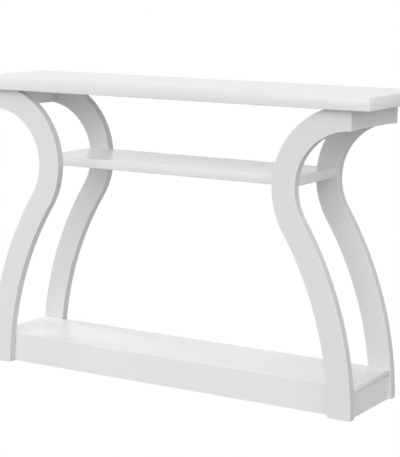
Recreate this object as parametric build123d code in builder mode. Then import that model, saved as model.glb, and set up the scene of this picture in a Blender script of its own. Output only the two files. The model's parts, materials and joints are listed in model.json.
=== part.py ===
from build123d import *
import os
from math import asin, atan2, degrees

# Console table with four S-curved legs, a mid shelf and a plinth base.
# Millimetres. X runs along the length, Y to the back, Z up. The origin is on the floor
# under the middle of the table. The table is symmetric about X = 0 and about Y = 0, so
# joints are stated once, for the front right quarter, and mirrored.

os.makedirs("parts", exist_ok=True)

# ---------------------------------------------------------------- overall sizes
TABLE_LENGTH = 1200
TABLE_DEPTH = 320
TABLE_HEIGHT = 813
TOP_THICKNESS = 33
GLIDE_HEIGHT = 2                   # the wooden parts stand this far off the floor
TOP_UNDERSIDE = TABLE_HEIGHT - TOP_THICKNESS
EDGE_RADIUS = 1.0                  # softened edge of every show board
OVERLAP = 5                        # extra length of a cutter past a free face
HOLE_SPARE = 1                     # a blind hole is this much deeper than what goes in it

# ---------------------------------------------------------------- legs
LEG_THICKNESS = 25
LEG_BACK_Y = 113                   # the face that the shelf, rails and aprons meet
LEG_FRONT_Y = LEG_BACK_Y + LEG_THICKNESS
LEG_MID_Y = LEG_BACK_Y + LEG_THICKNESS / 2
LEG_WIDTH = 64
ARCH_X = 545                       # centre of the upper arch; the leg's top end is above it
ARCH_Z = 576
ARCH_RADIUS = 183                  # radii are those of the leg's middle line
FOOT_X = 532.5                     # middle of the foot
SWEEP_Z = -11                      # height of the lower curve's centre
CENTRES_RUN = ARCH_X - FOOT_X
CENTRES_RISE = ARCH_Z - SWEEP_Z
SWEEP_RADIUS = (CENTRES_RUN**2 + CENTRES_RISE**2 - ARCH_RADIUS**2) / (
    2 * (ARCH_RADIUS - CENTRES_RUN)
)                                  # the lower curve leaves the arch smoothly
SWEEP_X = FOOT_X - SWEEP_RADIUS
BEND_ANGLE = degrees(atan2(CENTRES_RISE, ARCH_X - SWEEP_X))

# ---------------------------------------------------------------- boards
RAIL_THICKNESS = 25                # end rails between the legs' upper ends
RAIL_SETBACK = 2                   # from the legs' outer ends
RAIL_X_OUT = ARCH_X - RAIL_SETBACK
RAIL_X_IN = RAIL_X_OUT - RAIL_THICKNESS
RAIL_X_MID = RAIL_X_OUT - RAIL_THICKNESS / 2
RAIL_BOTTOM = ARCH_Z + ARCH_RADIUS - LEG_WIDTH / 2 + EDGE_RADIUS

SHELF_THICKNESS = 25
SHELF_TOP = 602
SHELF_BOTTOM = SHELF_TOP - SHELF_THICKNESS
SHELF_MID = SHELF_TOP - SHELF_THICKNESS / 2
SHELF_X = 388

BASE_THICKNESS = 15
BASE_TOP = 82
BASE_BOTTOM = BASE_TOP - BASE_THICKNESS
BASE_X = 559
BASE_OVERHANG = 2                  # past the end aprons
SHADOW_GAP = 2                     # between the base board and the end aprons
APRON_THICKNESS = 15
END_APRON_X_OUT = BASE_X - BASE_OVERHANG
END_APRON_X_IN = END_APRON_X_OUT - APRON_THICKNESS
END_APRON_X_MID = END_APRON_X_OUT - APRON_THICKNESS / 2
END_APRON_TOP = BASE_BOTTOM - SHADOW_GAP
LONG_APRON_Y_IN = LEG_BACK_Y - APRON_THICKNESS
LONG_APRON_Y_MID = LEG_BACK_Y - APRON_THICKNESS / 2
BRACE_THICKNESS = 15

# ---------------------------------------------------------------- cam fittings
CAM_DISTANCE = 34                  # from the edge of a board to the middle of its cam
CAM_RADIUS = 7.3
CAM_POCKET_RADIUS = 7.5
CAM_BELOW_AXIS = 6                 # the cam reaches this far past the bolt's axis
CAM_SINK = 0.3                     # the cam's face lies this far below the board's face
CAM_CROSS_LENGTH = 9
CAM_CROSS_WIDTH = 1.8
CAM_CROSS_DEPTH = 3
CAM_CROSS_TURN = 45                # degrees between the cross slot and the bolt
CAM_CAVITY_WIDTH = 7.4
CAM_CAVITY_END = 4.2
CAP_RADIUS = 9
CAP_THICKNESS = 1.0
BOLT_THREAD_RADIUS = 2.9
BOLT_THREAD_LENGTH = 11
BOLT_SHAFT_RADIUS = 3.4
BOLT_SHAFT_LENGTH = 26
BOLT_NECK_RADIUS = 1.9
BOLT_HEAD_RADIUS = 3.4
BOLT_HEAD_LENGTH = 4
BOLT_END = CAM_DISTANCE + 2        # the bolt's head ends just past the cam's middle
BOLT_TAPER = 1
BOLT_POINT_LENGTH = 1.5
BOLT_BORE_RADIUS = 4.0
FIT = 0.1                          # clearance round a dowel or thread in its hole

# ---------------------------------------------------------------- other hardware
DOWEL_RADIUS = 4
DOWEL_IN_FACE = 11                 # length of a dowel in the face of a leg or board
DOWEL_IN_EDGE = 19
DOWEL_END_BEVEL = 1
GLIDE_RADIUS = 9
GLIDE_NAIL_RADIUS = 1.3
GLIDE_NAIL_LENGTH = 12
BLOCK_LENGTH = 30                  # angle blocks that hold the base board to its aprons
BLOCK_LEG = 20
BLOCK_WALL = 4
BLOCK_RIB = 3
BLOCK_RIB_CLEARANCE = 2            # between a screw's head and the ribs
BLOCKS_X = (150, 420)              # blocks on the long aprons, from the table's middle
SCREW_OFFSET = (BLOCK_LEG + BLOCK_WALL) / 2        # from the block's corner to each screw
SCREW_LENGTH = 15
SCREW_POINT_LENGTH = 3
SCREW_RADIUS = 1.7
SCREW_HEAD_RADIUS = 3.6
SCREW_HEAD_HEIGHT = 2.2
SCREW_HEAD_BEVEL = 1
SCREW_RECESS_RADIUS = 1.6
SCREW_RECESS_DEPTH = 1.1
SCREW_RECESS_SIDES = 4

# ---------------------------------------------------------------- places of the joints
RAIL_CAM_RISE = 16                 # above the rail's underside
RAIL_DOWEL_RISE = 37
RAIL_TOP_CAM_Y = 40                # from the table's middle
LEG_TOP_DOWEL_X = 512
SHELF_CAM_X = 368
SHELF_DOWEL_X = 344
APRON_CAM_Z = 18                   # above the floor
APRON_DOWEL_Z = 53
CORNER_CAM_Z = 30
CORNER_DOWEL_Z = 42
BRACE_DOWELS_Z = (20, 49)


def outline(offset, arch_start):
    """One side of a leg, offset from its middle line towards the table's middle: the arch
    from its start angle, then the lower curve down to the foot."""
    radius = SWEEP_RADIUS - offset
    foot = degrees(asin((GLIDE_HEIGHT - SWEEP_Z) / radius))
    arch_turn = 180 + BEND_ANGLE - arch_start
    arch = CenterArc((ARCH_X, ARCH_Z), ARCH_RADIUS + offset, arch_start, arch_turn)
    sweep = CenterArc((SWEEP_X, SWEEP_Z), radius, BEND_ANGLE, foot - BEND_ANGLE)
    return arch, sweep


def quarters(joints):
    """The same joints in all four quarters of the table."""
    places = list(joints)
    places += [mirror_plane(joint, 1, -1) for joint in joints]
    places += [mirror_plane(joint, -1, 1) for joint in joints]
    places += [mirror_plane(joint, -1, -1) for joint in joints]
    return places


def mirror_plane(joint, x_sign, y_sign):
    """A joint's plane on the other side of the table; its z axis still leaves the board's face."""
    def flip(vector):
        return Vector(vector.X * x_sign, vector.Y * y_sign, vector.Z)

    return Plane(origin=flip(joint.origin), x_dir=flip(joint.x_dir), z_dir=flip(joint.z_dir))


def joint(x, y, z, into, face=(0, 0, 1)):
    """Where two boards meet. into points along the fitting into the board drilled in its
    edge, and face is the way that board's drilled face looks."""
    return Plane(origin=(x, y, z), x_dir=into, z_dir=face)


# ---------------------------------------------------------------- joints, front right quarter
# Each cam joint has its bolt screwed into the face of one board and its cam in the other.
TO_BACK = (0, 1, 0)
TO_MIDDLE = (-1, 0, 0)
DOWN = (0, 0, -1)

rail_leg_cams = [joint(RAIL_X_MID, -LEG_BACK_Y, RAIL_BOTTOM + RAIL_CAM_RISE, TO_BACK, TO_MIDDLE)]
rail_top_cams = [joint(RAIL_X_MID, -RAIL_TOP_CAM_Y, TOP_UNDERSIDE, DOWN, TO_MIDDLE)]
shelf_leg_cams = [joint(SHELF_CAM_X, -LEG_BACK_Y, SHELF_MID, TO_BACK, DOWN)]
apron_leg_cams = [joint(END_APRON_X_MID, -LEG_BACK_Y, APRON_CAM_Z, TO_BACK, TO_MIDDLE)]
apron_apron_cams = [joint(END_APRON_X_IN, -LONG_APRON_Y_MID, CORNER_CAM_Z, TO_MIDDLE, TO_BACK)]

rail_leg_dowels = [joint(RAIL_X_MID, -LEG_BACK_Y, RAIL_BOTTOM + RAIL_DOWEL_RISE, TO_BACK)]
leg_top_dowels = [joint(LEG_TOP_DOWEL_X, -LEG_MID_Y, TOP_UNDERSIDE, DOWN, TO_MIDDLE)]
shelf_leg_dowels = [joint(SHELF_DOWEL_X, -LEG_BACK_Y, SHELF_MID, TO_BACK)]
apron_leg_dowels = [joint(END_APRON_X_MID, -LEG_BACK_Y, APRON_DOWEL_Z, TO_BACK)]
apron_apron_dowels = [joint(END_APRON_X_IN, -LONG_APRON_Y_MID, CORNER_DOWEL_Z, TO_MIDDLE)]
brace_dowels = [joint(0, -LONG_APRON_Y_IN, z, TO_BACK) for z in BRACE_DOWELS_Z]

thick_cams = rail_leg_cams + rail_top_cams + shelf_leg_cams
thin_cams = apron_leg_cams + apron_apron_cams
leg_dowels = rail_leg_dowels + shelf_leg_dowels + apron_leg_dowels

# The angle blocks sit under the base board. Their plane's x axis points away from the
# apron, and its z axis points down.
long_blocks = [joint(x, -LONG_APRON_Y_IN, BASE_BOTTOM, TO_BACK, DOWN) for x in BLOCKS_X]
end_block = joint(END_APRON_X_IN, 0, BASE_BOTTOM, TO_MIDDLE, DOWN)
all_blocks = quarters(long_blocks) + [end_block, mirror_plane(end_block, -1, 1)]

# ---------------------------------------------------------------- drilling patterns
with BuildPart() as thread_hole:
    with BuildSketch(Plane.YZ):
        Circle(BOLT_THREAD_RADIUS + FIT)
    extrude(amount=-(BOLT_THREAD_LENGTH + HOLE_SPARE))

with BuildPart() as dowel_face_hole:
    with BuildSketch(Plane.YZ):
        Circle(DOWEL_RADIUS + FIT)
    extrude(amount=-(DOWEL_IN_FACE + HOLE_SPARE))

with BuildPart() as dowel_edge_hole:
    with BuildSketch(Plane.YZ):
        Circle(DOWEL_RADIUS + FIT)
    extrude(amount=DOWEL_IN_EDGE + HOLE_SPARE)


def cam_pocket(board):
    """The bolt's bore in the edge and the cam's pocket in the face of a board."""
    with BuildPart() as pocket:
        with BuildSketch(Plane.YZ):
            Circle(BOLT_BORE_RADIUS)
        extrude(amount=CAM_DISTANCE)
        with BuildSketch(Plane.XY.offset(board / 2 + OVERLAP)):
            with Locations((CAM_DISTANCE, 0)):
                Circle(CAM_POCKET_RADIUS)
        extrude(amount=-(board / 2 + OVERLAP + CAM_BELOW_AXIS))
    return pocket.part


thick_pocket = cam_pocket(RAIL_THICKNESS)
thin_pocket = cam_pocket(APRON_THICKNESS)

with BuildPart() as block_screw_hole:
    with BuildSketch(Plane.XY):
        with Locations((SCREW_OFFSET, 0)):
            Circle(SCREW_RADIUS + FIT)
    extrude(amount=-(SCREW_LENGTH - BLOCK_WALL + HOLE_SPARE))

with BuildPart() as block_side_hole:
    with BuildSketch(Plane.YZ):
        with Locations((0, SCREW_OFFSET)):
            Circle(SCREW_RADIUS + FIT)
    extrude(amount=-(SCREW_LENGTH - BLOCK_WALL + HOLE_SPARE))

# ---------------------------------------------------------------- top panel
with BuildPart() as top_panel:
    with BuildSketch(Plane.XY.offset(TOP_UNDERSIDE)):
        Rectangle(TABLE_LENGTH, TABLE_DEPTH)
    extrude(amount=TOP_THICKNESS)
    fillet(top_panel.edges(), radius=EDGE_RADIUS)
    with Locations(*quarters(rail_top_cams)):
        add(thread_hole.part, mode=Mode.SUBTRACT)
    with Locations(*quarters(leg_top_dowels)):
        add(dowel_face_hole.part, mode=Mode.SUBTRACT)
top_panel.part.label = "top_panel"
export_step(top_panel.part, "parts/top_panel.step")

# ---------------------------------------------------------------- legs
# The arch's inner side is cut off level where it meets the top panel.
arch_top_angle = 180 - degrees(asin((TOP_UNDERSIDE - ARCH_Z) / (ARCH_RADIUS + LEG_WIDTH / 2)))

with BuildPart() as leg:
    with BuildSketch(Plane.XZ.offset(LEG_BACK_Y)):
        with BuildLine():
            arch_in, sweep_in = outline(LEG_WIDTH / 2, arch_top_angle)
            arch_out, sweep_out = outline(-LEG_WIDTH / 2, 90)
            top_corner = (ARCH_X, TOP_UNDERSIDE)
            Line(arch_in @ 0, top_corner)
            Line(top_corner, arch_out @ 0)
            Line(sweep_in @ 1, sweep_out @ 1)
        make_face()
    extrude(amount=LEG_THICKNESS)
    fillet(leg.edges().filter_by(GeomType.CIRCLE), radius=EDGE_RADIUS)
    with Locations(*(rail_leg_cams + shelf_leg_cams + apron_leg_cams)):
        add(thread_hole.part, mode=Mode.SUBTRACT)
    with Locations(*leg_dowels):
        add(dowel_face_hole.part, mode=Mode.SUBTRACT)
    with Locations(*leg_top_dowels):
        add(dowel_edge_hole.part, mode=Mode.SUBTRACT)
    with Locations((FOOT_X, -LEG_MID_Y, GLIDE_HEIGHT)):
        Cylinder(
            GLIDE_NAIL_RADIUS + FIT,
            GLIDE_NAIL_LENGTH + HOLE_SPARE,
            align=(Align.CENTER, Align.CENTER, Align.MIN),
            mode=Mode.SUBTRACT,
        )

with BuildPart() as leg_front_right:
    add(leg.part)
leg_front_right.part.label = "leg_front_right"
export_step(leg_front_right.part, "parts/leg_front_right.step")

with BuildPart() as leg_front_left:
    mirror(leg.part, about=Plane.YZ)
leg_front_left.part.label = "leg_front_left"
export_step(leg_front_left.part, "parts/leg_front_left.step")

with BuildPart() as leg_rear_right:
    mirror(leg.part, about=Plane.XZ)
leg_rear_right.part.label = "leg_rear_right"
export_step(leg_rear_right.part, "parts/leg_rear_right.step")

with BuildPart() as leg_rear_left:
    mirror(leg_front_left.part, about=Plane.XZ)
leg_rear_left.part.label = "leg_rear_left"
export_step(leg_rear_left.part, "parts/leg_rear_left.step")

# ---------------------------------------------------------------- end rails under the top
with BuildPart() as top_rail_right:
    with BuildSketch(Plane.XY.offset(RAIL_BOTTOM)):
        with Locations((RAIL_X_MID, 0)):
            Rectangle(RAIL_THICKNESS, 2 * LEG_BACK_Y)
    extrude(amount=TOP_UNDERSIDE - RAIL_BOTTOM)
    low_edges = top_rail_right.edges().filter_by(Axis.Y).group_by(Axis.Z)[0]
    fillet(low_edges, radius=EDGE_RADIUS)
    for y_sign in (1, -1):
        with Locations(*[mirror_plane(cam, 1, y_sign) for cam in rail_leg_cams + rail_top_cams]):
            add(thick_pocket, mode=Mode.SUBTRACT)
        with Locations(*[mirror_plane(dowel, 1, y_sign) for dowel in rail_leg_dowels]):
            add(dowel_edge_hole.part, mode=Mode.SUBTRACT)
top_rail_right.part.label = "top_rail_right"
export_step(top_rail_right.part, "parts/top_rail_right.step")

with BuildPart() as top_rail_left:
    mirror(top_rail_right.part, about=Plane.YZ)
top_rail_left.part.label = "top_rail_left"
export_step(top_rail_left.part, "parts/top_rail_left.step")

# ---------------------------------------------------------------- mid shelf
with BuildPart() as mid_shelf:
    with BuildSketch(Plane.XY.offset(SHELF_BOTTOM)):
        Rectangle(2 * SHELF_X, 2 * LEG_BACK_Y)
    extrude(amount=SHELF_THICKNESS)
    fillet(mid_shelf.edges(), radius=EDGE_RADIUS)
    with Locations(*quarters(shelf_leg_cams)):
        add(thick_pocket, mode=Mode.SUBTRACT)
    with Locations(*quarters(shelf_leg_dowels)):
        add(dowel_edge_hole.part, mode=Mode.SUBTRACT)
mid_shelf.part.label = "mid_shelf"
export_step(mid_shelf.part, "parts/mid_shelf.step")

# ---------------------------------------------------------------- base board
with BuildPart() as base_board:
    with BuildSketch(Plane.XY.offset(BASE_BOTTOM)):
        Rectangle(2 * BASE_X, 2 * LEG_BACK_Y)
    extrude(amount=BASE_THICKNESS)
    fillet(base_board.faces().sort_by(Axis.Z)[-1].edges(), radius=EDGE_RADIUS)
    with Locations(*all_blocks):
        add(block_screw_hole.part, mode=Mode.SUBTRACT)
base_board.part.label = "base_board"
export_step(base_board.part, "parts/base_board.step")

# ---------------------------------------------------------------- aprons
with BuildPart() as apron_front:
    with BuildSketch(Plane.XY.offset(GLIDE_HEIGHT)):
        with Locations((0, -LONG_APRON_Y_MID)):
            Rectangle(2 * END_APRON_X_IN, APRON_THICKNESS)
    extrude(amount=BASE_BOTTOM - GLIDE_HEIGHT)
    for x_sign in (1, -1):
        with Locations(*[mirror_plane(cam, x_sign, 1) for cam in apron_apron_cams]):
            add(thin_pocket, mode=Mode.SUBTRACT)
        with Locations(*[mirror_plane(dowel, x_sign, 1) for dowel in apron_apron_dowels]):
            add(dowel_edge_hole.part, mode=Mode.SUBTRACT)
        with Locations(*[mirror_plane(block, x_sign, 1) for block in long_blocks]):
            add(block_side_hole.part, mode=Mode.SUBTRACT)
    with Locations(*brace_dowels):
        add(dowel_face_hole.part, mode=Mode.SUBTRACT)
apron_front.part.label = "apron_front"
export_step(apron_front.part, "parts/apron_front.step")

with BuildPart() as apron_rear:
    mirror(apron_front.part, about=Plane.XZ)
apron_rear.part.label = "apron_rear"
export_step(apron_rear.part, "parts/apron_rear.step")

with BuildPart() as apron_end_right:
    with BuildSketch(Plane.XY.offset(GLIDE_HEIGHT)):
        with Locations((END_APRON_X_MID, 0)):
            Rectangle(APRON_THICKNESS, 2 * LEG_BACK_Y)
    extrude(amount=END_APRON_TOP - GLIDE_HEIGHT)
    for y_sign in (1, -1):
        with Locations(*[mirror_plane(cam, 1, y_sign) for cam in apron_leg_cams]):
            add(thin_pocket, mode=Mode.SUBTRACT)
        with Locations(*[mirror_plane(cam, 1, y_sign) for cam in apron_apron_cams]):
            add(thread_hole.part, mode=Mode.SUBTRACT)
        with Locations(*[mirror_plane(dowel, 1, y_sign) for dowel in apron_leg_dowels]):
            add(dowel_edge_hole.part, mode=Mode.SUBTRACT)
        with Locations(*[mirror_plane(dowel, 1, y_sign) for dowel in apron_apron_dowels]):
            add(dowel_face_hole.part, mode=Mode.SUBTRACT)
    with Locations(end_block):
        add(block_side_hole.part, mode=Mode.SUBTRACT)
apron_end_right.part.label = "apron_end_right"
export_step(apron_end_right.part, "parts/apron_end_right.step")

with BuildPart() as apron_end_left:
    mirror(apron_end_right.part, about=Plane.YZ)
apron_end_left.part.label = "apron_end_left"
export_step(apron_end_left.part, "parts/apron_end_left.step")

with BuildPart() as base_brace:
    with BuildSketch(Plane.XY.offset(GLIDE_HEIGHT)):
        Rectangle(BRACE_THICKNESS, 2 * LONG_APRON_Y_IN)
    extrude(amount=BASE_BOTTOM - GLIDE_HEIGHT)
    for y_sign in (1, -1):
        with Locations(*[mirror_plane(dowel, 1, y_sign) for dowel in brace_dowels]):
            add(dowel_edge_hole.part, mode=Mode.SUBTRACT)
base_brace.part.label = "base_brace"
export_step(base_brace.part, "parts/base_brace.step")

# ---------------------------------------------------------------- cam bolts and cams
with BuildPart() as cam_bolt:
    with BuildSketch(Plane.XY):
        with BuildLine():
            Polyline(
                (-BOLT_THREAD_LENGTH, 0),
                (-BOLT_THREAD_LENGTH, BOLT_THREAD_RADIUS - BOLT_TAPER),
                (-BOLT_THREAD_LENGTH + BOLT_POINT_LENGTH, BOLT_THREAD_RADIUS),
                (0, BOLT_THREAD_RADIUS),
                (0, BOLT_SHAFT_RADIUS),
                (BOLT_SHAFT_LENGTH, BOLT_SHAFT_RADIUS),
                (BOLT_SHAFT_LENGTH + BOLT_TAPER, BOLT_NECK_RADIUS),
                (BOLT_END - BOLT_HEAD_LENGTH - BOLT_TAPER, BOLT_NECK_RADIUS),
                (BOLT_END - BOLT_HEAD_LENGTH, BOLT_HEAD_RADIUS),
                (BOLT_END - BOLT_TAPER, BOLT_HEAD_RADIUS),
                (BOLT_END, BOLT_HEAD_RADIUS - BOLT_TAPER),
                (BOLT_END, 0),
                close=True,
            )
        make_face()
    revolve(axis=Axis.X)

with BuildPart() as cam_bolts:
    with Locations(*quarters(thick_cams + thin_cams)):
        add(cam_bolt.part)
cam_bolts.part.label = "cam_bolts"
export_step(cam_bolts.part, "parts/cam_bolts.step")


def cam(board):
    """A cam for a board of this thickness: a disc with a cavity for the bolt's head and a
    cross slot for the screwdriver."""
    face = board / 2 - CAM_SINK
    with BuildPart() as disc:
        with BuildSketch(Plane.XY.offset(face)):
            with Locations((CAM_DISTANCE, 0)):
                Circle(CAM_RADIUS)
        extrude(amount=-(face + CAM_BELOW_AXIS))
        with BuildSketch(Plane.XY.offset(CAM_CAVITY_WIDTH / 2)):
            with Locations((CAM_DISTANCE + CAM_CAVITY_END, 0)):
                Rectangle(2 * CAM_RADIUS, CAM_CAVITY_WIDTH, align=(Align.MAX, Align.CENTER))
        extrude(amount=-CAM_CAVITY_WIDTH, mode=Mode.SUBTRACT)
        with BuildSketch(Plane.XY.offset(face)):
            with Locations((CAM_DISTANCE, 0)):
                Rectangle(CAM_CROSS_LENGTH, CAM_CROSS_WIDTH, rotation=CAM_CROSS_TURN)
                Rectangle(CAM_CROSS_WIDTH, CAM_CROSS_LENGTH, rotation=CAM_CROSS_TURN)
        extrude(amount=-CAM_CROSS_DEPTH, mode=Mode.SUBTRACT)
    return disc.part


with BuildPart() as cam_discs:
    with Locations(*quarters(thick_cams)):
        add(cam(RAIL_THICKNESS))
    with Locations(*quarters(thin_cams)):
        add(cam(APRON_THICKNESS))
cam_discs.part.label = "cam_discs"
export_step(cam_discs.part, "parts/cam_discs.step")

# Caps cover the cams that can be seen: under the shelf and inside the end rails.
with BuildPart() as cam_cap:
    with BuildSketch(Plane.XY.offset(RAIL_THICKNESS / 2)):
        with Locations((CAM_DISTANCE, 0)):
            Circle(CAP_RADIUS)
    extrude(amount=CAP_THICKNESS)
    chamfer(cam_cap.faces().sort_by(Axis.Z)[-1].edges(), length=CAP_THICKNESS / 2)

with BuildPart() as cam_caps:
    with Locations(*quarters(thick_cams)):
        add(cam_cap.part)
cam_caps.part.label = "cam_caps"
export_step(cam_caps.part, "parts/cam_caps.step")

# ---------------------------------------------------------------- dowels
with BuildPart() as dowel:
    with BuildSketch(Plane.YZ.offset(-DOWEL_IN_FACE)):
        Circle(DOWEL_RADIUS)
    extrude(amount=DOWEL_IN_FACE + DOWEL_IN_EDGE)
    chamfer(dowel.edges().filter_by(GeomType.CIRCLE), length=DOWEL_END_BEVEL)

with BuildPart() as wood_dowels:
    with Locations(*quarters(leg_dowels + leg_top_dowels + apron_apron_dowels)):
        add(dowel.part)
    with Locations(*brace_dowels):
        add(dowel.part)
    with Locations(*[mirror_plane(place, 1, -1) for place in brace_dowels]):
        add(dowel.part)
wood_dowels.part.label = "wood_dowels"
export_step(wood_dowels.part, "parts/wood_dowels.step")

# ---------------------------------------------------------------- angle blocks and screws
rib_middle = SCREW_HEAD_RADIUS + BLOCK_RIB_CLEARANCE + BLOCK_RIB / 2

with BuildPart() as angle_block:
    with BuildSketch(Plane.XZ.offset(-BLOCK_LENGTH / 2)):
        with BuildLine():
            Polyline(
                (0, 0),
                (BLOCK_LEG, 0),
                (BLOCK_LEG, BLOCK_WALL),
                (BLOCK_WALL, BLOCK_WALL),
                (BLOCK_WALL, BLOCK_LEG),
                (0, BLOCK_LEG),
                close=True,
            )
        make_face()
    extrude(amount=BLOCK_LENGTH)
    for y in (rib_middle, -rib_middle):
        with BuildSketch(Plane.XZ.offset(y - BLOCK_RIB / 2)):
            with BuildLine():
                Polyline(
                    (0, 0),
                    (BLOCK_LEG, 0),
                    (BLOCK_LEG, BLOCK_WALL),
                    (BLOCK_WALL, BLOCK_LEG),
                    (0, BLOCK_LEG),
                    close=True,
                )
            make_face()
        extrude(amount=BLOCK_RIB)
    with BuildSketch(Plane.XY):
        with Locations((SCREW_OFFSET, 0)):
            Circle(SCREW_RADIUS + FIT)
    extrude(amount=BLOCK_WALL, mode=Mode.SUBTRACT)
    with BuildSketch(Plane.YZ):
        with Locations((0, SCREW_OFFSET)):
            Circle(SCREW_RADIUS + FIT)
    extrude(amount=BLOCK_WALL, mode=Mode.SUBTRACT)

with BuildPart() as angle_blocks:
    with Locations(*all_blocks):
        add(angle_block.part)
angle_blocks.part.label = "angle_blocks"
export_step(angle_blocks.part, "parts/angle_blocks.step")

# A pan-head screw along Z: the head's underside is at the origin and the tip points down.
with BuildPart() as block_screw:
    with BuildSketch(Plane.XZ):
        with BuildLine():
            Polyline(
                (0, SCREW_HEAD_HEIGHT),
                (SCREW_HEAD_RADIUS - SCREW_HEAD_BEVEL, SCREW_HEAD_HEIGHT),
                (SCREW_HEAD_RADIUS, SCREW_HEAD_HEIGHT - SCREW_HEAD_BEVEL),
                (SCREW_HEAD_RADIUS, 0),
                (SCREW_RADIUS, 0),
                (SCREW_RADIUS, -SCREW_LENGTH + SCREW_POINT_LENGTH),
                (0, -SCREW_LENGTH),
                close=True,
            )
        make_face()
    revolve(axis=Axis.Z)
    with BuildSketch(Plane.XY.offset(SCREW_HEAD_HEIGHT)):
        RegularPolygon(SCREW_RECESS_RADIUS, SCREW_RECESS_SIDES)
    extrude(amount=-SCREW_RECESS_DEPTH, mode=Mode.SUBTRACT)

with BuildPart() as screw_pair:
    with Locations(Location((SCREW_OFFSET, 0, BLOCK_WALL))):
        add(block_screw.part)
    with Locations(Location((BLOCK_WALL, 0, SCREW_OFFSET), (0, 90, 0))):
        add(block_screw.part)

with BuildPart() as block_screws:
    with Locations(*all_blocks):
        add(screw_pair.part)
block_screws.part.label = "block_screws"
export_step(block_screws.part, "parts/block_screws.step")

# ---------------------------------------------------------------- glides under the feet
with BuildPart() as glide:
    with BuildSketch(Plane.XY):
        Circle(GLIDE_RADIUS)
    extrude(amount=GLIDE_HEIGHT)
    fillet(glide.faces().sort_by(Axis.Z)[0].edges(), radius=GLIDE_HEIGHT / 2)
    with BuildSketch(Plane.XY.offset(GLIDE_HEIGHT)):
        Circle(GLIDE_NAIL_RADIUS)
    extrude(amount=GLIDE_NAIL_LENGTH)
    chamfer(glide.faces().sort_by(Axis.Z)[-1].edges(), length=GLIDE_NAIL_RADIUS / 2)

with BuildPart() as foot_glides:
    with GridLocations(2 * FOOT_X, 2 * LEG_MID_Y, 2, 2):
        add(glide.part)
foot_glides.part.label = "foot_glides"
export_step(foot_glides.part, "parts/foot_glides.step")
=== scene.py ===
import json
from math import atan2, pi, radians

import bmesh
import bpy
from mathutils import Matrix, Vector


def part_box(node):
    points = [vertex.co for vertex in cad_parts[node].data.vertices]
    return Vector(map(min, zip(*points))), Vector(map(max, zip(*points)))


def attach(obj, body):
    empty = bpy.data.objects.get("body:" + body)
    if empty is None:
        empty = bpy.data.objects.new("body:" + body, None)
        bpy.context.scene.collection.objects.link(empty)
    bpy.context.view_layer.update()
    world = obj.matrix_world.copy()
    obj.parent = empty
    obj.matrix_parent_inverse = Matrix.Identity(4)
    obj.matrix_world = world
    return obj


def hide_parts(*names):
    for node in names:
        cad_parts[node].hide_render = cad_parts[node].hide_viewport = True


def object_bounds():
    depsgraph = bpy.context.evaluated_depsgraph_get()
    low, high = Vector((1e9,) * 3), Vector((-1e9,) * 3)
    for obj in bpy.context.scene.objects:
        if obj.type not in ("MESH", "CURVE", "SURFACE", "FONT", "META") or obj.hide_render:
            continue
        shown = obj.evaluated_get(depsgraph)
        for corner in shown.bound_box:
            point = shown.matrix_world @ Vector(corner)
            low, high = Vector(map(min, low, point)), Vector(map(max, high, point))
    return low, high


# White console table: looks and small parts. Metres, Z up, X along the length, Y to the back.

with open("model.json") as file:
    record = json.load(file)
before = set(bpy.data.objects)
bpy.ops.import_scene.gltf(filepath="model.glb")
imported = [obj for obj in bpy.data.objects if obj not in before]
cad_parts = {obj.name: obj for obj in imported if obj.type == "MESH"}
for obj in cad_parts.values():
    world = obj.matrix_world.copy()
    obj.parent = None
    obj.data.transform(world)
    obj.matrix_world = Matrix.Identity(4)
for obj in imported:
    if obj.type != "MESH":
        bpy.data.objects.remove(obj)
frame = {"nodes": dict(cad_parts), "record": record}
cad_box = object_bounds()
nodes = frame["nodes"]
MM = 0.001

# ---------------------------------------------------------------- finishes
LAMINATE_WHITE = (0.860, 0.860, 0.863, 1)
LAMINATE_SHADE = (0.848, 0.848, 0.852, 1)
# colour of the boards' arrises: partly wear, partly a painted highlight along the edges
LAMINATE_WORN_AND_HIGHLIT = (0.93, 0.93, 0.93, 1)
LEG_WHITE = (0.800, 0.800, 0.804, 1)
LEG_SHADE = (0.788, 0.788, 0.793, 1)
# the legs' edging strips: greyer than the faces, partly the strips' own tone and partly painted shade
# for the legs' dimmer sides
EDGING_GREY_WITH_PAINTED_SHADE = (0.72, 0.722, 0.732, 1)
EDGING_CLOUD_WITH_PAINTED_SHADE = (0.70, 0.702, 0.712, 1)
PLASTIC_WHITE = (0.855, 0.855, 0.85, 1)
PLASTIC_SHADE = (0.835, 0.835, 0.825, 1)
STEEL_BRIGHT = (0.66, 0.66, 0.67, 1)
STEEL_DULL = (0.50, 0.50, 0.52, 1)
ZINC_BRIGHT = (0.60, 0.60, 0.62, 1)
ZINC_DULL = (0.42, 0.42, 0.44, 1)
BEECH_PALE = (0.70, 0.50, 0.31, 1)
BEECH_DARK = (0.55, 0.36, 0.20, 1)
LAMINATE_ROUGHNESS = 0.22          # boards; the legs are duller
LEG_ROUGHNESS = 0.32
EDGING_ROUGHNESS = 0.36
PLASTIC_ROUGHNESS = 0.42
STEEL_ROUGHNESS = 0.30
ZINC_ROUGHNESS = 0.45
FOIL_PEARL = 1.2 * MM              # size of the pearls in each skin
EDGING_PEARL = 1.8 * MM
PLASTIC_PEARL = 0.6 * MM
STEEL_GRAIN = 0.8 * MM
ZINC_GRAIN = 0.5 * MM
FOIL_RELIEF = 0.04 * MM            # height of each skin's bumps
METAL_RELIEF = 0.1 * MM
BEECH_RELIEF = 0.2 * MM
FOIL_IOR = 1.5
CLOUD_SWING = 0.012                # how far roughness drifts over a board
SMEAR_DULLS = 0.025
WEAR_POLISHES = -0.03
# how far the boards' arrises are whitened: partly wear, partly a painted highlight
WEAR_AND_HIGHLIGHT_WHITEN = 0.4
SMALL_WEAR = 0.6 * MM              # width of the worn arris on small hardware
SMALL_RUN = 4 * MM
SMALL_CLOUD = 6 * MM

VALUE, VECTOR = "NodeSocketFloat", "NodeSocketVector"


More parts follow.
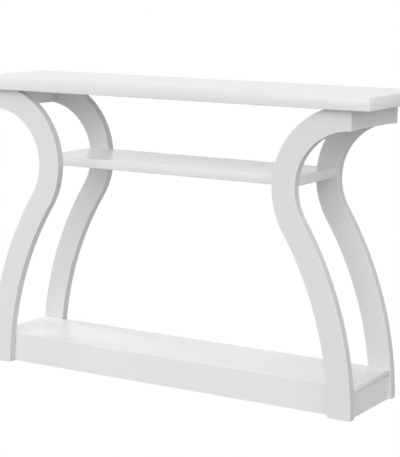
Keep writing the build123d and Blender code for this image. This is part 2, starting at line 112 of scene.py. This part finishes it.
def add(tree, kind, inputs=None, **settings):
    """A new node, with its settings, and its inputs set to a value or joined to a socket."""
    node = tree.nodes.new("ShaderNode" + kind)
    for name, value in settings.items():
        setattr(node, name, value)
    for name, value in (inputs or {}).items():
        if isinstance(value, bpy.types.NodeSocket):
            tree.links.new(value, node.inputs[name])
        else:
            node.inputs[name].default_value = value
    return node


def sum_up(tree, kind, first, second=0.0, third=0.0):
    """The result of a Math node."""
    return add(tree, "Math", {0: first, 1: second, 2: third}, operation=kind).outputs[0]


def spread(tree, value, low, high, to_low, to_high, interpolation_type="LINEAR"):
    """A value from low to high, stretched to run from to_low to to_high."""
    places = {"From Min": low, "From Max": high, "To Min": to_low, "To Max": to_high}
    node = add(tree, "MapRange", {"Value": value, **places}, interpolation_type=interpolation_type)
    return node.outputs["Result"]


def mix_colours(tree, share, first, second):
    """Two colours mixed, where a share of 1 is all of the second."""
    return add(tree, "Mix", {0: share, 6: first, 7: second}, data_type="RGBA").outputs[2]


def new_effect(name, inputs, outputs):
    """An empty node group with named inputs, each with its usual value, and outputs."""
    tree = bpy.data.node_groups.new(name, "ShaderNodeTree")
    for label, kind, usual in inputs:
        socket = tree.interface.new_socket(label, in_out="INPUT", socket_type=kind)
        if usual is not None:
            socket.default_value = usual
    for label, kind in outputs:
        tree.interface.new_socket(label, in_out="OUTPUT", socket_type=kind)
    return tree, tree.nodes.new("NodeGroupInput").outputs, tree.nodes.new("NodeGroupOutput").inputs


def make_arris_wear_and_highlight():
    """Where a piece's sharp edges show wear, in broken runs; on the white boards the same mask also
    paints a highlight along the arrises.
    """
    tree, given, result = new_effect(
        "arris_wear_and_highlight",
        [("Place", VECTOR, None), ("Width", VALUE, 1.5 * MM), ("Run Length", VALUE, 50 * MM)],
        [("Edge_Wear_And_Highlight", VALUE)],
    )
    softened = add(tree, "Bevel", {"Radius": given["Width"]}, samples=4)
    facing = add(tree, "NewGeometry")
    both = {0: softened.outputs[0], 1: facing.outputs["Normal"]}
    same_way = add(tree, "VectorMath", both, operation="DOT_PRODUCT").outputs["Value"]
    edge = spread(tree, same_way, 0.995, 0.90, 0, 1)
    runs_per_metre = sum_up(tree, "DIVIDE", 1.0, given["Run Length"])
    runs = add(tree, "TexNoise", {"Vector": given["Place"], "Scale": runs_per_metre, "Detail": 4.0})
    kept = spread(tree, runs.outputs["Fac"], 0.30, 0.70, 0.25, 1)
    tree.links.new(sum_up(tree, "MULTIPLY", edge, kept), result["Edge_Wear_And_Highlight"])
    return tree


def make_skin():
    """The fine skin of a pressed or moulded face, and the slow cloudiness under it."""
    tree, given, result = new_effect(
        "skin",
        [("Place", VECTOR, None), ("Pearl Size", VALUE, FOIL_PEARL), ("Cloud Size", VALUE, 160 * MM)],
        [("Height", VALUE), ("Cloud", VALUE)],
    )
    pearls_per_metre = sum_up(tree, "DIVIDE", 1.0, given["Pearl Size"])
    clouds_per_metre = sum_up(tree, "DIVIDE", 1.0, given["Cloud Size"])
    place = given["Place"]
    pearls = add(tree, "TexNoise", {"Vector": place, "Scale": pearls_per_metre, "Detail": 2.0})
    clouds = add(tree, "TexNoise", {"Vector": place, "Scale": clouds_per_metre, "Detail": 1.0})
    tree.links.new(pearls.outputs["Fac"], result["Height"])
    soft = spread(tree, clouds.outputs["Fac"], 0.2, 0.8, 0, 1, "SMOOTHSTEP")
    tree.links.new(soft, result["Cloud"])
    return tree


def make_handling():
    """Faint smears left by hands and a dusting cloth."""
    tree, given, result = new_effect(
        "handling",
        [("Place", VECTOR, None), ("Smear Size", VALUE, 90 * MM), ("Reach", VALUE, 0.5)],
        [("Smear", VALUE)],
    )
    smears_per_metre = sum_up(tree, "DIVIDE", 1.0, given["Smear Size"])
    wiped = add(tree, "Mapping", {"Vector": given["Place"], "Scale": (0.35, 1.0, 1.0)})
    place = wiped.outputs[0]
    streaks = add(tree, "TexNoise", {"Vector": place, "Scale": smears_per_metre, "Detail": 1.0})
    start = sum_up(tree, "SUBTRACT", 0.6, given["Reach"])
    soft = spread(tree, streaks.outputs["Fac"], start, 0.95, 0, 1, "SMOOTHSTEP")
    tree.links.new(soft, result["Smear"])
    return tree


effects = {"arris_wear_and_highlight": make_arris_wear_and_highlight(), "skin": make_skin(), "handling": make_handling()}


def new_finish(name):
    """An empty material: its tree, its Principled shader, and where on the piece a point is."""
    material = bpy.data.materials.new(name)
    material.use_nodes = True
    tree = material.node_tree
    place = add(tree, "TexCoord").outputs["Object"]
    return material, tree, tree.nodes["Principled BSDF"], place


def effect(tree, name, place, **values):
    """An effect placed in a material, with its own values. An underscore stands for a space."""
    node = tree.nodes.new("ShaderNodeGroup")
    node.node_tree = effects[name]
    tree.links.new(place, node.inputs["Place"])
    for label, value in values.items():
        node.inputs[label.replace("_", " ")].default_value = value
    return node.outputs


def feed(tree, shader, **sockets):
    """Joins values that change over the surface to the shader's inputs."""
    for label, socket in sockets.items():
        tree.links.new(socket, shader.inputs[label.replace("_", " ")])


def make_board_finish(name, colours, roughness, pearl_size, bump):
    """Melamine foil: near white, satin, with a fine pearl skin and arrises lightened partly by wear
    and partly by a painted highlight.
    """
    material, tree, shader, place = new_finish(name)
    skin = effect(tree, "skin", place, Pearl_Size=pearl_size)
    wear_and_highlight = effect(tree, "arris_wear_and_highlight", place)["Edge_Wear_And_Highlight"]
    smear = effect(tree, "handling", place)["Smear"]
    main, shade, rubbed_and_highlit = colours
    colour = mix_colours(tree, skin["Cloud"], main, shade)
    # arrises whitened: partly wear, partly a painted highlight along the edges
    colour = mix_colours(tree, sum_up(tree, "MULTIPLY", wear_and_highlight, WEAR_AND_HIGHLIGHT_WHITEN), colour, rubbed_and_highlit)
    rough = spread(tree, skin["Cloud"], 0, 1, roughness - CLOUD_SWING, roughness + CLOUD_SWING)
    rough = sum_up(tree, "MULTIPLY_ADD", smear, SMEAR_DULLS, rough)
    rough = sum_up(tree, "MULTIPLY_ADD", wear_and_highlight, WEAR_POLISHES, rough)
    relief = add(tree, "Bump", {"Height": skin["Height"], "Strength": bump, "Distance": FOIL_RELIEF})
    feed(tree, shader, Base_Color=colour, Roughness=rough, Normal=relief.outputs[0])
    shader.inputs["IOR"].default_value = FOIL_IOR
    return material


def make_metal_finish(name, colours, roughness, grain_size):
    """Plated or cast metal: brighter where it is rubbed, with tool marks."""
    material, tree, shader, place = new_finish(name)
    skin = effect(tree, "skin", place, Pearl_Size=grain_size, Cloud_Size=SMALL_CLOUD)
    wear_and_highlight = effect(tree, "arris_wear_and_highlight", place, Width=SMALL_WEAR, Run_Length=SMALL_RUN)["Edge_Wear_And_Highlight"]
    dull, bright = colours
    colour = mix_colours(tree, skin["Cloud"], dull, bright)
    colour = mix_colours(tree, wear_and_highlight, colour, bright)
    rough = spread(tree, skin["Cloud"], 0, 1, roughness + 0.08, roughness - 0.05)
    relief = add(tree, "Bump", {"Height": skin["Height"], "Strength": 0.4, "Distance": METAL_RELIEF})
    feed(tree, shader, Base_Color=colour, Roughness=rough, Normal=relief.outputs[0])
    shader.inputs["Metallic"].default_value = 1.0
    return material


def make_beech():
    """Turned beech: short dark flecks and fine rings along the dowel."""
    material, tree, shader, place = new_finish("beech_dowel")
    flecks = add(tree, "TexNoise", {"Vector": place, "Scale": 900.0, "Detail": 4.0, "Distortion": 0.6})
    rings = add(tree, "TexWave", {"Vector": place, "Scale": 120.0, "Distortion": 3.0, "Detail": 3.0})
    wear_and_highlight = effect(tree, "arris_wear_and_highlight", place, Width=SMALL_WEAR, Run_Length=SMALL_RUN)["Edge_Wear_And_Highlight"]
    grain = sum_up(tree, "MULTIPLY", flecks.outputs["Fac"], rings.outputs["Fac"])
    colour = mix_colours(tree, spread(tree, grain, 0.1, 0.5, 0, 1), BEECH_PALE, BEECH_DARK)
    colour = mix_colours(tree, sum_up(tree, "MULTIPLY", wear_and_highlight, 0.5), colour, BEECH_PALE)
    rough = spread(tree, grain, 0, 0.6, 0.55, 0.75)
    relief = add(tree, "Bump", {"Height": grain, "Strength": 0.5, "Distance": BEECH_RELIEF})
    feed(tree, shader, Base_Color=colour, Roughness=rough, Normal=relief.outputs[0])
    return material


laminate = make_board_finish(
    "white_laminate_satin", (LAMINATE_WHITE, LAMINATE_SHADE, LAMINATE_WORN_AND_HIGHLIT),
    LAMINATE_ROUGHNESS, FOIL_PEARL, bump=0.25,
)
leg_laminate = make_board_finish(
    "white_leg_laminate", (LEG_WHITE, LEG_SHADE, LAMINATE_WORN_AND_HIGHLIT), LEG_ROUGHNESS, FOIL_PEARL, bump=0.25
)
# Legs' edging: darker than the faces, partly its own tone and partly painted shade on the legs' sides.
edging = make_board_finish(
    "white_edging_foil_with_painted_shade", (EDGING_GREY_WITH_PAINTED_SHADE, EDGING_CLOUD_WITH_PAINTED_SHADE, LAMINATE_WHITE),
    EDGING_ROUGHNESS, EDGING_PEARL, bump=0.3,
)
plastic = make_board_finish(
    "white_moulded_plastic", (PLASTIC_WHITE, PLASTIC_SHADE, LAMINATE_WHITE),
    PLASTIC_ROUGHNESS, PLASTIC_PEARL, bump=0.4,
)
steel = make_metal_finish("plated_steel", (STEEL_DULL, STEEL_BRIGHT), STEEL_ROUGHNESS, STEEL_GRAIN)
zinc = make_metal_finish("cast_zinc", (ZINC_DULL, ZINC_BRIGHT), ZINC_ROUGHNESS, ZINC_GRAIN)
beech = make_beech()

finish_of_slot = {
    "white_laminate": laminate,
    "steel_bolt": steel,
    "zinc_cam": zinc,
    "white_plastic": plastic,
    "beech": beech,
}
for part in frame["record"]["subparts"]:
    finish = finish_of_slot[part["material_slot"]]
    if part["node"].startswith(("leg_", "top_rail_")):
        finish = leg_laminate
    nodes[part["node"]].material_slots[0].material = finish

# ---------------------------------------------------------------- shaping
MERGE_GAP = 0.002 * MM             # corners of a new piece closer than this are merged


def begin(name):
    """The primitive just added, named, set down at the origin and open for shaping."""
    piece = bpy.context.object
    piece.name = piece.data.name = name
    bpy.ops.object.transform_apply(location=True, rotation=True, scale=True)
    bpy.ops.object.mode_set(mode="EDIT")
    return piece


def pick(kind, test):
    """Selects only the vertices, edges or faces of the open piece that pass a test."""
    bpy.ops.mesh.select_mode(type=kind)
    bpy.ops.mesh.select_all(action="DESELECT")
    mesh = bmesh.from_edit_mesh(bpy.context.object.data)
    for part in {"VERT": mesh.verts, "EDGE": mesh.edges, "FACE": mesh.faces}[kind]:
        if test(part):
            part.select_set(True)
    mesh.select_flush_mode()
    bmesh.update_edit_mesh(bpy.context.object.data)


def close_up(smooth_angle=35):
    """Ends shaping: doubles merged, holes filled, faces outwards, soft shading."""
    bpy.ops.mesh.select_mode(type="VERT")
    bpy.ops.mesh.select_all(action="SELECT")
    bpy.ops.mesh.remove_doubles(threshold=MERGE_GAP)
    bpy.ops.mesh.fill_holes(sides=0)
    bpy.ops.mesh.select_all(action="SELECT")
    bpy.ops.mesh.normals_make_consistent(inside=False)
    bpy.ops.object.mode_set(mode="OBJECT")
    bpy.ops.object.shade_smooth_by_angle(angle=radians(smooth_angle))


def clear_selection():
    """Leaves nothing selected."""
    bpy.ops.object.select_all(action="DESELECT")


def copy_at(pattern, place, name):
    """A copy of a piece, with its own mesh, moved by a matrix."""
    copy = pattern.copy()
    copy.data = pattern.data.copy()
    copy.name = copy.data.name = name
    bpy.context.scene.collection.objects.link(copy)
    copy.data.transform(place)
    if place.to_3x3().determinant() < 0:
        copy.data.flip_normals()
    return copy


def join_up(pieces, name):
    """One piece from several."""
    clear_selection()
    for piece in pieces:
        piece.select_set(True)
    bpy.context.view_layer.objects.active = pieces[0]
    bpy.ops.object.join()
    pieces[0].name = pieces[0].data.name = name
    return pieces[0]


def keep(piece, finish, slot, *replaced):
    """Gives a piece its finish and sets it on the table, in place of any CAD nodes named."""
    piece.data.materials.clear()
    piece.data.materials.append(finish)
    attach(piece, "root")
    if replaced:
        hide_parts(*replaced)
    return piece


# ---------------------------------------------------------------- edging
EDGING_PROUD = 0.25 * MM           # the strips stand this far off the boards
EDGING_SUNK = 0.5 * MM
EDGING_EASE = 0.12 * MM            # rounding of a strip's arrises
BOARD_ROUND = 1.2 * MM             # a strip stops where the board's own arris begins


def edging_strip(board, side, name):
    """A strip along one upright side of a board: side is (1, 0), (-1, 0), (0, 1) or (0, -1)."""
    low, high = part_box(board)
    first, last = low.copy(), high.copy()
    for axis in range(3):
        if axis < 2 and side[axis]:
            face = high[axis] if side[axis] > 0 else low[axis]
            first[axis] = face - EDGING_SUNK if side[axis] > 0 else face - EDGING_PROUD
            last[axis] = face + EDGING_PROUD if side[axis] > 0 else face + EDGING_SUNK
        else:
            first[axis], last[axis] = low[axis] + BOARD_ROUND, high[axis] - BOARD_ROUND
    clear_selection()
    bpy.ops.mesh.primitive_cube_add(size=1, location=(first + last) / 2, scale=last - first)
    strip = begin(name)
    pick("EDGE", lambda edge: True)
    bpy.ops.mesh.bevel(offset=EDGING_EASE, segments=2)
    close_up()
    return strip


SIDES = {"right": (1, 0), "left": (-1, 0), "rear": (0, 1), "front": (0, -1)}
EDGED_BOARDS = {
    "top_panel": ("front", "rear", "left", "right"),
    "mid_shelf": ("front", "rear", "left", "right"),
    "base_board": ("left", "right"),
}
for board, sides in EDGED_BOARDS.items():
    strips = [edging_strip(board, SIDES[side], f"{board}_edging_{side}") for side in sides]
    keep(join_up(strips, f"{board}_edging"), laminate, "white_laminate")

# The legs' middle line: an arch that runs smoothly into a long lower sweep.
LEG_WIDTH = 64 * MM
ARCH_CENTRE = Vector((545 * MM, 0, 576 * MM))
ARCH_RADIUS = 183 * MM
SWEEP_CENTRE_Z = -11 * MM
FOOT_X = 532.5 * MM
run, rise = ARCH_CENTRE.x - FOOT_X, ARCH_CENTRE.z - SWEEP_CENTRE_Z
sweep_radius = (run**2 + rise**2 - ARCH_RADIUS**2) / (2 * (ARCH_RADIUS - run))
SWEEP_CENTRE = Vector((FOOT_X - sweep_radius, 0, SWEEP_CENTRE_Z))
BEND = atan2(rise, ARCH_CENTRE.x - SWEEP_CENTRE.x)
ARCH_STEPS, SWEEP_STEPS = 56, 44
LEG_EDGE_INSET = 1.15 * MM         # the strip is this much narrower than the leg, each side
EDGING_SHORT = 0.2 * MM            # and stops this far from the leg's ends


def leg_edging(edge, name):
    """The strip on one curved edge of the front right leg: edge 1 looks to the table's
    middle at the arch, and -1 away from it."""
    low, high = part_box("leg_front_right")
    face = ARCH_RADIUS + edge * LEG_WIDTH / 2
    inner, outer = sorted((face + edge * EDGING_PROUD, face - edge * EDGING_SUNK))
    width = high.y - low.y - 2 * LEG_EDGE_INSET
    start = ARCH_CENTRE + Vector((0, (low.y + high.y) / 2, (inner + outer) / 2))
    clear_selection()
    bpy.ops.mesh.primitive_plane_add(size=1, location=start, rotation=(0, pi / 2, 0))
    bpy.context.object.scale = (outer - inner, width, 1)
    strip = begin(name)
    for centre, steps, angle in (
        (ARCH_CENTRE, ARCH_STEPS, pi / 2 + BEND),
        (SWEEP_CENTRE, SWEEP_STEPS, -BEND),
    ):
        bpy.ops.mesh.spin(steps=steps, angle=angle, center=centre, axis=(0, 1, 0))
    for cut, way in ((high.z - EDGING_SHORT, 1), (low.z + EDGING_SHORT, -1)):
        bpy.ops.mesh.select_all(action="SELECT")
        bpy.ops.mesh.bisect(
            plane_co=(0, 0, cut), plane_no=(0, 0, way), clear_outer=True, use_fill=True
        )
    close_up()
    return strip


strips = [leg_edging(edge, "leg_front_right_edging") for edge in (1, -1)]
pattern = join_up(strips, "leg_front_right_edging")
for leg, flip in {
    "leg_front_left": (-1, 1, 1),
    "leg_rear_right": (1, -1, 1),
    "leg_rear_left": (-1, -1, 1),
}.items():
    keep(copy_at(pattern, Matrix.Diagonal((*flip, 1)), f"{leg}_edging"), edging, "white_laminate")
keep(pattern, edging, "white_laminate")

# ---------------------------------------------------------------- small parts
SEAM = 0.005 * MM                  # corners closer than this belong together
SOCKET_DRAFT = 0.15 * MM           # a socket narrows by this much
THREAD_STEPS = 16                  # to each turn


def bodies(node):
    """The low and high corners of each separate body in a CAD node, in order of place."""
    shape = bmesh.new()
    shape.from_mesh(nodes[node].data)
    shape.transform(nodes[node].matrix_world)
    bmesh.ops.remove_doubles(shape, verts=shape.verts, dist=SEAM)
    waiting, found = set(shape.verts), []
    while waiting:
        reached, body = [waiting.pop()], []
        while reached:
            corner = reached.pop()
            body.append(corner.co.copy())
            for edge in corner.link_edges:
                other = edge.other_vert(corner)
                if other in waiting:
                    waiting.remove(other)
                    reached.append(other)
        low = Vector([min(point[axis] for point in body) for axis in range(3)])
        high = Vector([max(point[axis] for point in body) for axis in range(3)])
        found.append((low, high))
    shape.free()
    return sorted(found, key=lambda corners: tuple(corners[0]))


def turned(name, profile, steps=24):
    """A round piece along Z: profile lists (height, radius) in millimetres, from the top down."""
    (top, first), (height, radius) = profile[:2]
    clear_selection()
    bpy.ops.mesh.primitive_cylinder_add(
        vertices=steps, radius=first * MM, depth=(top - height) * MM,
        location=(0, 0, (top + height) / 2 * MM),
    )
    piece = begin(name)
    pick("FACE", lambda face: face.normal.z < -0.9)
    bpy.ops.transform.resize(value=(radius / first, radius / first, 1))
    for below, wide in profile[2:]:
        step = {"value": (0, 0, (below - height) * MM)}
        bpy.ops.mesh.extrude_region_move(TRANSFORM_OT_translate=step)
        bpy.ops.transform.resize(value=(wide / radius, wide / radius, 1))
        height, radius = below, wide
    return piece


def sink_end(way, rim, depth):
    """Sinks a socket in one end of the open piece, with a rim left round it."""
    faces = bmesh.from_edit_mesh(bpy.context.object.data).faces
    end = max(face.calc_center_median().z * way for face in faces) - SEAM
    pick("FACE", lambda face: face.calc_center_median().z * way > end)
    bpy.ops.mesh.inset(thickness=rim * MM)
    bpy.ops.mesh.inset(thickness=SOCKET_DRAFT, depth=-depth * MM)


def thread(name, core, crest, pitch, bottom, top):
    """A ridge that winds round a core along Z. Sizes in millimetres."""
    clear_selection()
    bpy.ops.mesh.primitive_circle_add(
        vertices=4, radius=(crest - core) * MM,
        location=(core * MM, 0, bottom * MM), rotation=(pi / 2, 0, 0),
    )
    ridge = begin(name)
    bpy.ops.object.mode_set(mode="OBJECT")
    winding = ridge.modifiers.new("winding", "SCREW")
    winding.screw_offset = pitch * MM
    winding.iterations = round((top - bottom) / pitch)
    winding.steps = winding.render_steps = THREAD_STEPS
    bpy.ops.object.modifier_apply(modifier="winding")
    bpy.ops.object.mode_set(mode="EDIT")
    close_up()
    return ridge


def set_out(pattern, node, name, way_of, offset):
    """Copies of a pattern in the places of a CAD node's bodies, joined as one piece. way_of
    gives the world direction of the pattern's Z, and offset is how far its origin lies from
    the body's middle along that direction."""
    copies = []
    for low, high in bodies(node):
        middle = (low + high) / 2
        way = way_of(middle, high - low)
        turn = way.to_track_quat("Z", "Y").to_matrix().to_4x4()
        place = Matrix.Translation(middle + way * offset * MM) @ turn
        copies.append(copy_at(pattern, place, f"{name}_{len(copies) + 1}"))
    bpy.data.objects.remove(pattern)
    return join_up(copies, name)


def along(axis, sign):
    """A direction along X, Y or Z."""
    way = Vector((0, 0, 0))
    way[axis] = sign
    return way


def outwards(middle, size):
    """Along a long body, up or away from the table's middle."""
    axis = max(range(3), key=lambda i: size[i])
    return along(axis, -1 if axis < 2 and middle[axis] < 0 else 1)


def inwards(middle, size):
    """Along a long body, down or towards the table's middle."""
    return -outwards(middle, size)


def off_face(middle, size):
    """Across a thin body, down or towards the table's middle."""
    axis = min(range(3), key=lambda i: size[i])
    return along(axis, 1 if axis < 2 and middle[axis] < 0 else -1)


# Cam bolts: the thread is at the top, and height 0 is where two boards meet.
BOLT_PROFILE = (
    (11, 1.7), (10, 2.45), (0.4, 2.45), (0, 3.2), (-0.2, 3.4), (-26, 3.4), (-27, 1.9), (-31, 1.9),
    (-32, 3.2), (-32.2, 3.4), (-35, 3.4), (-35.7, 2.9), (-36, 2.4),
)
BOLT_MIDDLE = 12.5                 # from the bolt's middle up to height 0
shaft = turned("cam_bolt", BOLT_PROFILE)
sink_end(-1, rim=0.9, depth=1.2)
close_up()
bolt_thread = thread("bolt_thread", core=2.45, crest=2.88, pitch=1.4, bottom=0.5, top=10.3)
bolt = join_up([shaft, bolt_thread], "cam_bolt")
bolts = set_out(bolt, "cam_bolts", "threaded_cam_bolts", outwards, BOLT_MIDDLE)
keep(bolts, steel, "steel_bolt", "cam_bolts")

# Screws of the angle blocks: the head is at the top, and its underside is at height 0.
SCREW_PROFILE = (
    (2.2, 2.5), (1.9, 3.1), (1.2, 3.6), (0.2, 3.6), (0, 3.4), (-0.05, 1.35), (-12.2, 1.3),
    (-15, 0.12),
)
SCREW_MIDDLE = 6.4
shank = turned("block_screw", SCREW_PROFILE)
sink_end(1, rim=0.8, depth=1.1)
close_up()
screw_thread = thread("screw_thread", core=1.3, crest=1.68, pitch=1.1, bottom=-12.3, top=-1.3)
screw = join_up([shank, screw_thread], "block_screw")
screws = set_out(screw, "block_screws", "threaded_block_screws", inwards, SCREW_MIDDLE)
keep(screws, steel, "steel_bolt", "block_screws")

# Dowels, with flutes along every second face.
DOWEL_PROFILE = ((15, 3), (14.6, 3.7), (14, 4), (-14, 4), (-14.6, 3.7), (-15, 3))
FLUTES = 12
FLUTE_RIM = 0.2 * MM
FLUTE_DEPTH = 0.25 * MM


def is_flute(face):
    """Every second face round the dowel's side."""
    turn = atan2(face.normal.y, face.normal.x) / (pi / FLUTES)
    return abs(face.normal.z) < 0.1 and round(turn - 0.5) % 2 == 0


dowel = turned("dowel", DOWEL_PROFILE, steps=2 * FLUTES)
pick("FACE", is_flute)
bpy.ops.mesh.inset(thickness=FLUTE_RIM, depth=-FLUTE_DEPTH, use_individual=True)
close_up()
dowels = set_out(dowel, "wood_dowels", "fluted_dowels", outwards, 0)
keep(dowels, beech, "beech", "wood_dowels")

# Caps: height 0 lies on the board.
CAP_PROFILE = ((1, 8.1), (0.85, 8.6), (0.5, 9), (0, 9))
CAP_MIDDLE = -0.5
cap = turned("cam_cap", CAP_PROFILE, steps=64)
sink_end(1, rim=1.4, depth=0.15)
close_up()
caps = set_out(cap, "cam_caps", "moulded_cam_caps", off_face, CAP_MIDDLE)
keep(caps, plastic, "white_plastic", "cam_caps")

# ---------------------------------------------------------------- studio
CAMERA_PLACE = (2.160, -3.602, 1.126)
CAMERA_YAW, CAMERA_PITCH, CAMERA_ROLL = radians(32.67), radians(9.59), radians(0.39)
CAMERA_LENS = 123.5                # millimetres
CAMERA_SHIFT = 0.131
FLOOR_SIZE = 40
FLOOR_GREY = (0.30, 0.30, 0.30, 1)
FLOOR_BOUNCE = 0.11
WHITE = (1, 1, 1, 1)
GLOWS = (                          # where each glow is, how tight, how strong
    ((0, -0.82, 0.57), 8, 2.55),
    ((0.20, -0.96, 0.17), 16, 1.60),
    ((0.66, -0.66, 0.36), 4, 0.40),
    ((0.70, -0.71, 0.05), 3, 0.35),
    ((1, 0.1, 0.1), 4, 1.25),
    ((0, 1, 0.1), 6, 0.53),
    ((-0.60, 0.80, 0.10), 6, 0.83),
)

camera = bpy.data.objects.new("camera", bpy.data.cameras.new("camera"))
bpy.context.scene.collection.objects.link(camera)
camera.location = CAMERA_PLACE
turn = Matrix.Rotation(CAMERA_YAW, 3, "Z") @ Matrix.Rotation(pi / 2 - CAMERA_PITCH, 3, "X")
camera.rotation_euler = (turn @ Matrix.Rotation(CAMERA_ROLL, 3, "Z")).to_euler()
camera.data.lens = CAMERA_LENS
camera.data.shift_x = CAMERA_SHIFT
bpy.context.scene.camera = camera
bpy.context.scene.view_settings.view_transform = "Standard"

clear_selection()
bpy.ops.mesh.primitive_plane_add(size=FLOOR_SIZE, location=(0, 0, cad_box[0].z))
floor = bpy.context.object
floor.name = "studio_floor"
paper = bpy.data.materials.new("floor_paper")
paper.use_nodes = True
tree = paper.node_tree
tree.nodes.remove(tree.nodes["Principled BSDF"])
seen = add(tree, "LightPath").outputs["Is Camera Ray"]
lit = add(tree, "BsdfDiffuse", {"Color": FLOOR_GREY})
dim_glow = add(tree, "Emission", {"Color": WHITE, "Strength": FLOOR_BOUNCE})
soft_floor = add(tree, "AddShader", {0: lit.outputs[0], 1: dim_glow.outputs[0]})
bright_floor = add(tree, "Emission", {"Color": WHITE, "Strength": 1.0})
either = add(tree, "MixShader", {0: seen, 1: soft_floor.outputs[0], 2: bright_floor.outputs[0]})
tree.links.new(either.outputs[0], tree.nodes["Material Output"].inputs["Surface"])
floor.data.materials.append(paper)

# The room's light: soft glows from a few sides, seen by the table but not by the camera.
world = bpy.data.worlds.new("studio")
world.use_nodes = True
bpy.context.scene.world = world
tree = world.node_tree
way = add(tree, "TexCoord").outputs["Generated"]
total = 0.0
for towards, tightness, strength in GLOWS:
    facing = add(tree, "VectorMath", {0: way, 1: towards}, operation="DOT_PRODUCT")
    ahead = sum_up(tree, "MAXIMUM", facing.outputs["Value"], 0.0)
    lobe = sum_up(tree, "POWER", ahead, tightness)
    total = sum_up(tree, "MULTIPLY_ADD", lobe, strength, total)
seen = add(tree, "LightPath").outputs["Is Camera Ray"]
level = add(tree, "Mix", {0: seen, 2: total, 3: 1.0}, data_type="FLOAT").outputs[0]
tree.links.new(level, tree.nodes["Background"].inputs["Strength"])
tree.nodes["Background"].inputs["Color"].default_value = WHITE


def soft_light(name, place, aim, size, power):
    """A large soft box that faces a point."""
    light = bpy.data.objects.new(name, bpy.data.lights.new(name, "AREA"))
    bpy.context.scene.collection.objects.link(light)
    light.location = place
    light.rotation_euler = (Vector(aim) - Vector(place)).to_track_quat("-Z", "Y").to_euler()
    light.data.size = size
    light.data.energy = power


soft_light("left_box", place=(-3.5, 0, 1.8), aim=(0, 0, 0.45), size=2.0, power=105)
soft_light("right_box", place=(1.9, -0.3, 2.2), aim=(0.5, 0, 0.5), size=1.0, power=6)
